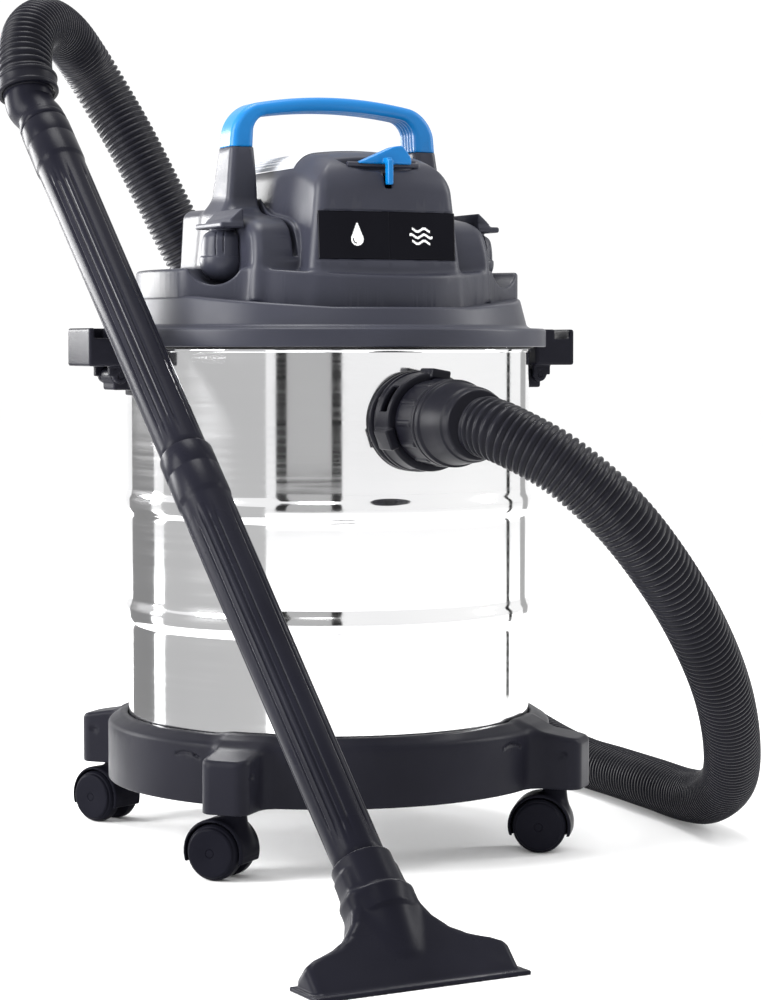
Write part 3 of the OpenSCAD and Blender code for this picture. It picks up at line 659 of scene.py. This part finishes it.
def make_switch():
    formed("rocker", switch_field, (-28, -109, 466), (28, -89, 496), 0.6, "blue", "switch", 0.5,
           replaces=("switch_lever",))
    pin = Matrix.Translation((0, -94, 481)) @ Matrix.Rotation(pi / 2, 4, "Y")
    outline = [(0.01, -26.8), (1.9, -26.8), (1.9, 26.8), (0.01, 26.8)]
    lathe("rocker_pin", rounded(outline, 0.5, 2), "cover_grey", "switch", 24, pin, ("switch_lever",))


# ---------- base and casters ----------

CASTER_CIRCLE = 172
WHEEL_TRAIL, WHEEL_HEIGHT = 10, 19
CASTER_AZIMUTHS = (-45, 45, 135, -135)
TRAIL_HEADINGS = (131, 146, 135, 118)


def base_shell(radial, u, v, z, inset=0.0):
    """The ring with its sloped shoulder and the four arms, drawn in by an inset."""
    shoulder = np.minimum(93.2 - 0.06 * (radial - 146), 92.8 - 0.62 * (radial - 151))
    ring = corner(radial - 160 + inset, z - shoulder + inset, 2.2)
    top = np.minimum(87.5 - 0.16 * (u - 158), 82.0 - 0.9 * (u - 192))
    arm = corner(corner(v - 17 + inset, u - 194 + inset, 9), z - top + inset, 3.2)
    return join(ring, np.maximum(arm, 120 - u), 12)


def base_field(x, y, z):
    radial = np.hypot(x, y)
    u = (np.abs(x) + np.abs(y)) / math.sqrt(2)
    v = np.abs(np.abs(x) - np.abs(y)) / math.sqrt(2)
    form = corner(base_shell(radial, u, v, z), 46 - z, 1.2)
    cavity = np.maximum(base_shell(radial, u, v, z, 3.2), 150 - radial)
    form = np.maximum(form, -cavity)
    socket = np.hypot(u - CASTER_CIRCLE, v)
    form = np.minimum(form, disc(socket, z, 9, 46, 82))
    form = np.maximum(form, -np.maximum(radial - 146, 62 - z))
    form = np.maximum(form, 118 - radial)
    form = np.maximum(form, -np.maximum(np.abs(radial - 125.5) - 15.5, z - 58))
    form = np.maximum(form, -np.maximum(socket - 4.3, z - 78))
    # an eyebrow-shaped dent beside each arm and a small oval one in each arm's flank
    turn = np.degrees(np.arctan2(v, u))
    brow = np.maximum(np.abs(z - (74 + 6.5 * np.cos((turn - 16) * 0.24))) - 1.0, np.abs(turn - 15.5) - 4.0)
    form = cut(form, np.maximum(brow, 158.6 - radial), 0.8)
    dent = np.sqrt(((u - 182) / 1.2) ** 2 + ((z - 71) * 1.5) ** 2 + ((v - 17.2) * 2) ** 2) - 3.4
    return cut(form, dent, 0.6)


def make_base():
    formed("base", base_field, (-161, -161, 45), (161, 161, 95), 1.35, "base_black", "chassis", 0.36,
           replaces=("base_ring",))


def caster_matrix(k):
    azimuth = math.radians(CASTER_AZIMUTHS[k])
    swivel = Matrix.Translation((CASTER_CIRCLE * math.sin(azimuth), -CASTER_CIRCLE * math.cos(azimuth), 0))
    return swivel @ Matrix.Rotation(math.radians(TRAIL_HEADINGS[k]), 4, "Z")


def fork_field(x, y, z):
    round_hood = np.hypot(x - WHEEL_TRAIL, z - WHEEL_HEIGHT)
    hood = disc(round_hood, y, 22.4, -14, 14, 2.2)
    neck = corner(np.hypot(x, y) - (10.4 - 0.11 * (z - 24)), np.abs(z - 34.5) - 10.7, 0.8)
    form = join(hood, neck, 5)
    form = np.maximum(form, z - 45.2)
    wells = disc(round_hood, np.abs(y), 20.3, 4.8, 25, 0.3)
    form = np.maximum(form, -wells)
    form = cut(form, z - 12, 0.8)
    return np.maximum(form, 3.1 - round_hood)


def make_casters():
    points, faces = surface_nets(fork_field, (-13, -15, 0), (34, 15, 46), 0.9)
    rim = [(3, 5.4), (18.2, 5.4), (19, 6.2), (19, 12.6), (17.9, 14.9), (17.0, 15.2), (16.5, 16.7),
           (15.4, 17.3), (3, 17.6)]
    pin = [(0.01, -17.5), (2.6, -17.5), (3, -17.1), (3, 17.1), (2.6, 17.5), (0.01, 17.5)]
    for k in range(4):
        matrix = caster_matrix(k)
        turned = np.array(points) @ np.array(matrix.to_3x3()).T + np.array(matrix.translation)
        body = f"caster_{k + 1}"
        piece = add_mesh(f"hood_{k + 1}", turned * MM, faces.tolist(), "wheel_black", body,
                         replaces=(f"caster_fork_{k + 1}",))
        thinned(piece, 0.4)
        hub = matrix @ Matrix.Translation((WHEEL_TRAIL, 0, WHEEL_HEIGHT))
        for side in (1, -1):
            axle = hub @ Matrix.Rotation(side * -pi / 2, 4, "X")
            lathe(f"wheel_{k + 1}_{'a' if side > 0 else 'b'}", rounded(rim, 0.5, 3), "wheel_black",
                  f"wheels_{k + 1}", 72, axle, (f"caster_wheels_{k + 1}",))
        axle = hub @ Matrix.Rotation(pi / 2, 4, "X")
        lathe(f"axle_{k + 1}", pin, "wheel_black", f"wheels_{k + 1}", 24, axle, (f"caster_wheels_{k + 1}",))


# ---------- inlet, latches ----------

def port_field(x, y, z):
    radial = np.hypot(x, z - INLET_Z)
    tank = np.hypot(x, y)
    saddle = corner(radial - 34, np.abs(tank - 148.6) - 2.4, 1.6)
    saddle = np.maximum(saddle, y)
    tube = disc(radial, -y, 22, 124, 166, 0.8)
    form = join(saddle, tube, 2)
    return np.maximum(form, 17.5 - radial)


def collar_field(x, y, z):
    radial, along = np.hypot(x, z - INLET_Z), -y
    form = disc(radial, along, 33, 152, 173.6, 2.0)
    ridge = disc(radial, along, 33.9, 153.2, 156.4, 1.0)
    form = join(form, ridge, 1.0)
    for degrees in (10, 130, 250):
        a = math.radians(degrees)
        out = x * math.sin(a) + (z - INLET_Z) * math.cos(a)
        across = x * math.cos(a) - (z - INLET_Z) * math.sin(a)
        lug = block(across, along, out, (0, 166, 32), (7, 10, 3.4), 1.3)
        form = join(form, lug, 1.6)
        a = math.radians(degrees + 50)
        out = x * math.sin(a) + (z - INLET_Z) * math.cos(a)
        across = x * math.cos(a) - (z - INLET_Z) * math.sin(a)
        form = cut(form, block(across, along, out, (0, 164.8, 30), (9.5, 5, 12), 1.0), 0.8)
    form = np.maximum(form, -np.maximum(radial - 22.4, along - 166.5))
    form = np.maximum(form, -np.maximum(radial - 24.3, 166.3 - along))
    return np.maximum(form, -np.maximum(radial - 29.5, np.abs(along - 164) - 6))


def connector_field(x, y, z):
    radial, along = np.hypot(x, z - INLET_Z), -y
    form = np.minimum(disc(radial, along, 28, 174, 203.8, 1.2), disc(radial, along, 17.4, 152, 176, 0.6))
    form = np.minimum(form, disc(radial, along, 24, 167, 176, 0.6))
    turn = np.arctan2(x, z - INLET_Z) * 6 / pi
    across = (turn - np.round(turn)) * pi / 6 * 28
    rib = corner(np.maximum(np.abs(across) - 1.7, np.abs(along - 187.5) - 10), radial - 29, 0.9)
    form = join(form, np.maximum(rib, 26 - radial), 0.8)
    form = join(form, disc(radial, along, 28.9, 200.2, 203.8, 0.8), 0.6)
    return np.maximum(form, 14 - radial)


def make_inlet():
    for name, field, low, high, step, body, node in (
            ("port", port_field, (-35, -167, 271), (35, -123, 341), 1.0, "chassis", "inlet_port"),
            ("collar", collar_field, (-36, -177, 270), (36, -151, 342), 0.8, "lock_collar", "lock_collar"),
            ("connector", connector_field, (-30, -205, 276), (30, -151, 336), 0.9, "chassis",
             "hose_connector")):
        formed(name, field, low, high, step, "fitting_black", body, 0.4, replaces=(node,))
    cuff = [(14, 204.1), (28.0, 204.1), (28.8, 205.0), (28.8, 209.5), (27.2, 211.0), (25.6, 226),
            (24.6, 235), (23.6, 236.2), (22.8, 241.5), (22.0, 242.9), (14, 242.9)]
    matrix = Matrix.Translation((0, 0, INLET_Z)) @ Matrix.Rotation(pi / 2, 4, "X")
    lathe("cuff", rounded(cuff, 0.8, 3), "hose_black", "chassis", 96, matrix, ("hose_cuff",))


LATCH_PIN = (164, 336)


def pin_distance(ax, z):
    return np.hypot(ax - LATCH_PIN[0], z - LATCH_PIN[1])


def lever_field(x, y, z):
    ax, ay = np.abs(x), np.abs(y)
    tray = block(ax, y, z, (173.4, 0, 355.8), (15.8, 24, 13.2), 1.8)
    well = block(ax, y, z, (174.6, 0, 366), (11.0, 20, 15.5), 1.5)
    open_end = block(ax, y, z, (179, 0, 375), (6.2, 30, 13), 1.2)
    form = cut(cut(tray, well, 0.8), open_end, 0.8)
    rib = block(ax, y, z, (169, 0, 353), (6, 1.6, 6), 0.8)
    form = join(form, rib, 1.0)
    ear = disc(pin_distance(ax, z), ay, 5.5, 12.6, 17.8, 0.6)
    web = block(ax, ay, z, (165.5, 15.2, 340.5), (7, 2.6, 5), 0.8)
    form = join(form, join(ear, web, 1.0), 1.2)
    form = np.maximum(form, 2.05 - pin_distance(ax, z))
    return np.maximum(form, 157.5 - np.hypot(x, y))


def bracket_field(x, y, z):
    ax, ay = np.abs(x), np.abs(y)
    radial = np.hypot(x, y)
    plate = corner(corner(np.abs(radial - 148.3) - 1.7, ay - 18, 1.0), np.abs(z - 333) - 11, 1.0)
    arm = block(ax, y, z, (157, 0, 333), (10.5, 12, 7), 1.6)
    knuckle = disc(pin_distance(ax, z), ay, 5.5, -12, 12, 0.8)
    form = join(join(plate, arm, 2.0), knuckle, 1.5)
    return np.maximum(form, 2 - pin_distance(ax, z))


def make_latches():
    for side, low, high in (("left", -190, -139), ("right", 139, 190)):
        formed(f"lever_{side}", lever_field, (low, -25, 329), (high, 25, 370), 0.9, "base_black",
               f"latch_{side}", 0.4, replaces=(f"latch_lever_{side}",))
        formed(f"bracket_{side}", bracket_field, (low, -19, 321), (high, 19, 345), 0.9, "base_black",
               "chassis", 0.4, replaces=(f"latch_bracket_{side}",))


# ---------- wand, nozzle, elbow ----------

WAND_FOOT = np.array((-139, -436, 0.0))
WAND_HEADING, WAND_RISE = math.radians(4.7), math.radians(44)
WAND_MATRIX = (Matrix.Translation(WAND_FOOT) @ Matrix.Rotation(WAND_HEADING, 4, "Z")
               @ Matrix.Rotation(WAND_RISE - pi / 2, 4, "X"))
WAND_START = (50, 378)
WAND_END = 738


def wand_coords(x, y, z):
    """Local coordinates: across the nozzle, through it, and up the wand."""
    x, y = x - WAND_FOOT[0], y - WAND_FOOT[1]
    across = x * math.cos(WAND_HEADING) + y * math.sin(WAND_HEADING)
    ahead = -x * math.sin(WAND_HEADING) + y * math.cos(WAND_HEADING)
    c, s = math.cos(WAND_RISE), math.sin(WAND_RISE)
    return across, ahead * s - z * c, ahead * c + z * s


def make_wand(name, start, node):
    """A tapered tube with long fluted panels, a plain socket and a narrower male end."""
    outline = [(14.3, 0.4), (14.65, 2.4), (14.65, 31.9), (15.3, 32.4), (15.8, 33.4)]
    fluted = [(15.8 + 1.4 * k / 40, 38 + 272 * k / 40) for k in range(41)]
    outline += fluted + [(17.2, 315), (17.3, 317.2), (17.9, 319.4), (18, 321), (18, 340), (17.7, 341),
                         (17.7, 342.4), (18, 343.4), (18, 358.4), (17.5, 359.7), (16.8, 360)]
    inside = [(14.75, 360), (14.75, 327.2), (12.5, 326.6), (12.5, 0.4)]
    sides = 144
    verts, faces = [], []
    rings = outline + inside
    for r, s in rings:
        panel = r < 17.3 and 44 < s < 304
        fade = min(max((s - 44) / 10, 0), 1) * min(max((304 - s) / 10, 0), 1) if panel else 0
        for k in range(sides):
            a = 2 * pi * k / sides
            # four grooves, and so three ribs, in a panel on each quarter of the tube
            turn = math.degrees(a) % 90
            groove = sum(math.exp(-((turn - g) / 2.4) ** 4) for g in (22, 38, 54, 70))
            rr = r - 0.85 * groove * fade
            local = Vector((rr * math.cos(a), rr * math.sin(a), s + start))
            verts.append((WAND_MATRIX @ local) * MM)
    n = len(rings)
    for i in range(n):
        for k in range(sides):
            a, b = i * sides + k, i * sides + (k + 1) % sides
            j = (i + 1) % n * sides - i * sides
            faces.append((a, b, b + j, a + j))
    piece = add_mesh(name, verts, faces, "wand_black", "wand", replaces=(node,))
    piece.data.set_sharp_from_angle(angle=math.radians(40))
    piece.visible_glossy = False


NOZZLE_S = (-30, 11, 14.5, 18, 23, 29, 38, 48, 60, 70, 90)
NOZZLE_W = (66, 66, 64.5, 59, 45, 34.5, 26.5, 22, 19.4, 18.5, 18.5)


def nozzle_field(x, y, z):
    across, through, s = wand_coords(x, y, z)
    width = np.interp(s, NOZZLE_S, NOZZLE_W)
    slope = (np.interp(s + 1.5, NOZZLE_S, NOZZLE_W) - np.interp(s - 1.5, NOZZLE_S, NOZZLE_W)) / 3
    edge = (np.abs(across) - width) / np.sqrt(1 + slope * slope)
    plate = corner(corner(edge, np.abs(through) - 10, 5), s - 74, 1)
    socket = disc(np.hypot(across, through), s, 18.5, 44, 82, 1.0)
    cone = corner(np.hypot(across, through) - (9 + 8.5 * (s - 14) / 30), np.abs(s - 35) - 22, 2)
    form = join(join(plate, cone, 7), socket, 2.5)
    px, py = x - WAND_FOOT[0], y - WAND_FOOT[1]
    lx = px * math.cos(WAND_HEADING) + py * math.sin(WAND_HEADING)
    ly = -px * math.sin(WAND_HEADING) + py * math.cos(WAND_HEADING)
    lip = block(lx, ly, z, (0, 0, 1.0), (69, 17, 1.5), 1.0)
    lip = np.maximum(lip, 0.02 - z)
    form = join(np.maximum(form, 0.02 - z), lip, 1.6)
    form = np.maximum(form, 0.02 - z)
    taper = np.clip((s - 10) / 22, 0, 1)
    slot = np.maximum(np.maximum(np.abs(across) - (60 - 48 * taper), np.abs(through) - 7), s - 32)
    radial = np.hypot(across, through)
    bore = np.minimum(radial - 12 + 100 * (s < 30), radial - 14.72 + 100 * (s < 49))
    return np.maximum(np.maximum(form, -slot), -bore)


def make_nozzle():
    head = formed("floor_head", nozzle_field, (-212, -460, 0), (-66, -356, 72), 1.0, "wand_black", "nozzle",
                  0.4, replaces=("nozzle",))
    head.visible_glossy = False


def make_elbow():
    level = math.cos(WAND_RISE)
    way = Vector((-level * math.sin(WAND_HEADING), level * math.cos(WAND_HEADING), math.sin(WAND_RISE)))
    last = HOSE_ROUTE[-1] / MM
    before = HOSE_ROUTE[-2] / MM
    route = [Vector(WAND_FOOT) + way * (WAND_END + s) for s in (0.6, 6, 12)]
    route += [last - Vector((0, 4, 9)), last]
    line, _ = evenly(catmull(route, 12), 0.6)
    radii = []
    for i in range(len(line)):
        t = i / (len(line) - 1)
        r = 17.4 + 0.35 * math.exp(-((t - 0.1) / 0.05) ** 4) - 1.0 * math.exp(-((t - 0.45) / 0.22) ** 2)
        radii.append((r - 0.7 * max(0, 1 - i / 2)) * MM)
    verts, faces = sweep([p * MM for p in line], radii, 64)
    piece = add_mesh("elbow", verts, faces, "wand_black", "chassis", replaces=("hose_elbow",))
    piece.data.set_sharp_from_angle(angle=math.radians(50))
    spigot = rounded([(r, WAND_END + s) for r, s in
                      ((12.5, -30), (14.3, -30), (14.65, -26), (14.65, 1.5), (12.5, 1.5))], 0.5, 2)
    lathe("spigot", spigot, "wand_black", "chassis", 48, WAND_MATRIX, ("hose_elbow",))
    cuff = [(19.2, -0.2), (21.6, -0.2), (22.4, 0.8), (22.4, 2.6), (21.7, 3.4), (21.7, 9.6), (22.4, 10.4),
            (22.4, 12.2), (21.6, 13.2), (19.2, 13.2)]
    aim = (before - last).normalized().to_track_quat("Z", "Y").to_matrix().to_4x4()
    lathe("end_cuff", rounded(cuff, 0.6, 3), "hose_black", "chassis", 72, Matrix.Translation(last) @ aim,
          ("hose_end_cuff",))


# ---------- studio ----------

def area(name, place, target, size, power):
    data = bpy.data.lights.new(name, "AREA")
    data.shape = "RECTANGLE"
    data.size, data.size_y = size
    data.energy = power
    lamp = bpy.data.objects.new(name, data)
    bpy.context.scene.collection.objects.link(lamp)
    lamp.location = place
    lamp.rotation_euler = (Vector(target) - Vector(place)).to_track_quat("-Z", "Y").to_euler()
    lamp.visible_camera = False


def flag(name, azimuth, distance, width, low, high, shade):
    """A dark or grey studio flag that only shows in reflections; azimuth 0 is -Y, turning to -X."""
    a = math.radians(azimuth)
    place = Vector((-math.sin(a), -math.cos(a), 0)) * distance
    side = Vector((math.cos(a), -math.sin(a), 0)) * width / 2
    verts = [place - side + Vector((0, 0, low)), place + side + Vector((0, 0, low)),
             place + side + Vector((0, 0, high)), place - side + Vector((0, 0, high))]
    mesh = bpy.data.meshes.new(name)
    mesh.from_pydata([tuple(v) for v in verts], [], [(0, 1, 2, 3)])
    mesh.update()
    card = bpy.data.objects.new(name, mesh)
    bpy.context.scene.collection.objects.link(card)
    n = Nodes(name, (0, 0, 0), 1.0, 0.0, 0.0)
    n.set(n.bsdf, "Emission Color", (shade, shade, shade, 1))
    n.set(n.bsdf, "Emission Strength", 1.0)
    mesh.materials.append(n.mat)
    card.visible_camera = False
    card.visible_diffuse = False
    card.visible_shadow = False
    card.visible_transmission = False


def make_studio():
    bpy.ops.mesh.primitive_plane_add(size=30, location=(0, 0, 0))
    floor = bpy.context.object
    floor.name = "floor"
    n = Nodes("floor", (0.95, 0.95, 0.95), 0.6, 0.0, 0.2)
    floor.data.materials.append(n.mat)
    world = bpy.data.worlds.new("world")
    world.use_nodes = True
    world.node_tree.nodes["Background"].inputs["Color"].default_value = (1, 1, 1, 1)
    world.node_tree.nodes["Background"].inputs["Strength"].default_value = 1.06
    bpy.context.scene.world = world
    area("key", (-2.3, 0.1, 1.0), (0, 0, 0.3), (0.9, 1.7), 90)
    area("front", (-1.3, -2.2, 2.0), (0, 0, 0.25), (0.9, 0.7), 12)
    area("side", (2.1, -0.5, 1.3), (0, 0, 0.25), (0.4, 1.6), 30)
    area("rear_left", (-1.2, 1.9, 0.6), (0, 0, 0.45), (1.3, 0.7), 55)
    area("top", (-0.1, 0.3, 2.2), (0, 0, 0.3), (0.8, 0.8), 26)
    # soft grey and dark bands for the polished steel to reflect
    flag("flag_left_edge", 146, 0.62, 0.37, 0.0, 0.37, 0.29)
    flag("flag_left", 88, 0.60, 0.78, 0.0, 0.37, 0.60)
    flag("flag_bar_a", 49, 2.5, 0.26, 0.12, 1.9, 0.03)
    flag("flag_bar_b", 19, 2.5, 0.24, 0.12, 1.9, 0.03)
    flag("flag_bar_low", 34, 2.52, 1.15, 0.115, 0.15, 0.05)
    flag("flag_bar_high", 34, 2.54, 1.15, 0.15, 1.9, 0.52)
    flag("flag_right", -92, 0.9, 0.06, 0.0, 0.5, 0.01)
    flag("flag_right_soft", -120, 1.7, 0.35, 0.0, 1.6, 0.45)
    bpy.context.scene.view_settings.view_transform = "Standard"


# ---------- build ----------

make_camera()
make_hose()
make_tank()
make_lid()
make_cover()
make_label()
make_grille()
make_clips()
make_grip()
make_switch()
make_base()
make_casters()
make_inlet()
make_latches()
for part, place in (("wand_tube_lower", WAND_START[0]), ("wand_tube_upper", WAND_START[1])):
    make_wand(part, place, "wand_lower" if "lower" in part else "wand_upper")
make_nozzle()
make_elbow()

# every carried-over CAD node gets its slot's material; the latches' pins and rivets are blackened
for node, obj in frame["nodes"].items():
    obj.data.materials.clear()
    obj.data.materials.append(M["base_black" if node.startswith("latch") else SLOT_OF[node]])

make_studio()
